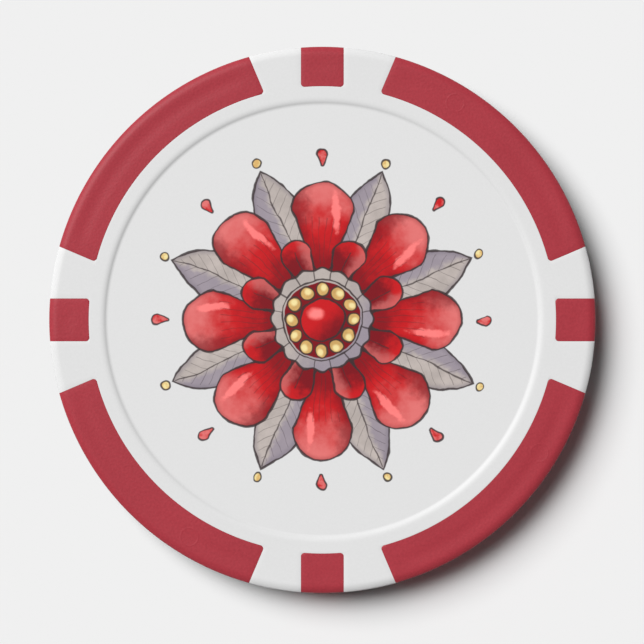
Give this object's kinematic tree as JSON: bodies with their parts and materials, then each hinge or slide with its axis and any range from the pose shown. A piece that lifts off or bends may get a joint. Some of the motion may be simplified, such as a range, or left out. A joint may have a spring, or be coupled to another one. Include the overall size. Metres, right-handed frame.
{
  "type": "poker chip",
  "caption": "Round two-colour moulded gaming chip with a hidden steel slug, red edge spots running over a white rim and a printed label recessed in each face.",
  "frame": {"origin": "middle of the back face, on the plane that the chip lies on", "axes": "+Z out of the front face along the chip's axis, +Y towards the short spot at the top of the front face, +X towards the short spot on its right"},
  "size_m": [0.039, 0.039, 0.0033],
  "materials": {
    "white_plastic": "satin",
    "red_plastic": "satin",
    "slug_steel": "satin",
    "label_adhesive": "satin",
    "label_film": "matte"
  },
  "bodies": {
    "root": {"chip_body": "white_plastic", "steel_slug": "slug_steel", "long_spot_ne": "red_plastic", "long_spot_nw": "red_plastic", "long_spot_sw": "red_plastic", "long_spot_se": "red_plastic", "short_spot_e": "red_plastic", "short_spot_n": "red_plastic", "short_spot_w": "red_plastic", "short_spot_s": "red_plastic", "front_adhesive": "label_adhesive", "back_adhesive": "label_adhesive", "front_label": "label_film", "back_label": "label_film"}
  },
  "joints": []
}
